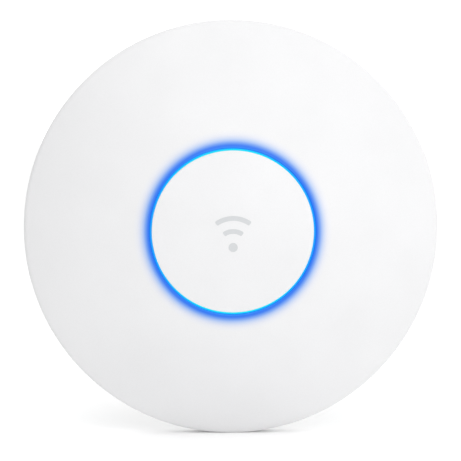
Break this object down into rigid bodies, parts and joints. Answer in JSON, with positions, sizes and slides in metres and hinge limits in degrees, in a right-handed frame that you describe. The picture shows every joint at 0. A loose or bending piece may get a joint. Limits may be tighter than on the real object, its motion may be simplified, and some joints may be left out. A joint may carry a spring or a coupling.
{
  "type": "ceiling wireless access point",
  "caption": "Round shallow-domed Wi-Fi access point with a lit ring round its centre cap, held by a twist-off mounting bracket.",
  "frame": {"origin": "centre of the mounting bracket's back face, which lies against the wall or ceiling", "axes": "+Y out of the bracket's back face, into the wall or ceiling; the lit front looks along -Y; +Z towards the cable exit, up when the part stands on its rim or hangs on a wall; +X to the right seen from the front"},
  "size_m": [0.197, 0.035, 0.197],
  "materials": {
    "white_plastic": "fine-grained white moulding",
    "emblem_print": "light grey print",
    "light_guide": "clear acrylic lit cyan-blue",
    "back_plastic": "white moulding",
    "bracket_plastic": "off-white moulding",
    "label_film": "satin film",
    "circuit_board": "green solder mask",
    "ring_board": "white solder mask",
    "led_lens": "cloudy lens",
    "chip_resin": "black moulded resin",
    "nickel_plate": "nickel plate",
    "tinplate": "tin-plated sheet",
    "aluminium": "rolled sheet",
    "screw_steel": "zinc-plated steel",
    "contact_gold": "gold flash",
    "thermal_pad": "soft filled silicone",
    "transformer_tape": "taped winding",
    "capacitor_can": "sleeved can",
    "socket_nylon": "cream nylon",
    "ribbon_film": "amber polyimide film",
    "button_plastic": "dark grey moulding"
  },
  "bodies": {
    "bracket": {"mounting_bracket": "bracket_plastic"},
    "access_point": {"front_cover": "white_plastic", "centre_cap": "white_plastic", "light_guide_ring": "light_guide", "led_ring_board": "ring_board", "emblem_dot": "emblem_print", "emblem_inner_arc": "emblem_print", "emblem_outer_arc": "emblem_print", "led_1": "led_lens", "led_2": "led_lens", "led_3": "led_lens", "led_4": "led_lens", "led_5": "led_lens", "led_6": "led_lens", "led_7": "led_lens", "led_8": "led_lens", "cap_screw_1": "screw_steel", "cap_screw_2": "screw_steel", "cap_screw_3": "screw_steel", "main_board": "circuit_board", "heat_spreader": "aluminium", "ethernet_jack_main": "nickel_plate", "ethernet_jack_secondary": "nickel_plate", "jack_contacts_main": "contact_gold", "jack_contacts_secondary": "contact_gold", "ethernet_transformer_main": "chip_resin", "ethernet_transformer_secondary": "chip_resin", "processor": "chip_resin", "memory_chip": "chip_resin", "thermal_pad_processor": "thermal_pad", "radio_chip_2g": "chip_resin", "radio_shield_2g": "tinplate", "thermal_pad_2g": "thermal_pad", "radio_chip_5g": "chip_resin", "radio_shield_5g": "tinplate", "thermal_pad_5g": "thermal_pad", "antenna_2g_1": "tinplate", "antenna_2g_2": "tinplate", "antenna_2g_3": "tinplate", "antenna_5g_1": "tinplate", "antenna_5g_2": "tinplate", "antenna_5g_3": "tinplate", "power_transformer": "transformer_tape", "power_capacitor": "capacitor_can", "reset_switch": "chip_resin", "led_ribbon_socket": "socket_nylon", "led_ribbon_cable": "ribbon_film", "board_screw_1": "screw_steel", "board_screw_2": "screw_steel", "board_screw_3": "screw_steel", "board_screw_4": "screw_steel", "back_housing": "back_plastic", "port_bay_tray": "back_plastic", "cable_trough": "back_plastic", "blank_rating_label": "label_film"},
    "lock_lever": {"lock_lever": "bracket_plastic"},
    "reset_button": {"reset_plunger": "button_plastic"},
    "cable_exit_clip": {"cable_exit_cover": "white_plastic"}
  },
  "joints": [
    {"name": "bayonet_twist", "type": "hinge", "parent": "bracket", "child": "access_point", "pos_m": [0, 0, 0], "axis": [0, -1, 0], "range_deg": [0, 28]},
    {"name": "lever_swing", "type": "hinge", "parent": "bracket", "child": "lock_lever", "pos_m": [0.0465, 0, -0.009], "axis": [0, -1, 0], "range_deg": [0, 9]},
    {"name": "reset_press", "type": "slide", "parent": "access_point", "child": "reset_button", "axis": [0, 0, -1], "range_m": [0, 0.0005], "stiffness_N_per_m": 2000},
    {"name": "exit_cover_pull", "type": "slide", "parent": "access_point", "child": "cable_exit_clip", "axis": [0, 0, 1], "range_m": [0, 0.02]}
  ],
  "couplings": [
    {"joint": "lever_swing", "follows": "bayonet_twist", "ratio": 0.3}
  ]
}
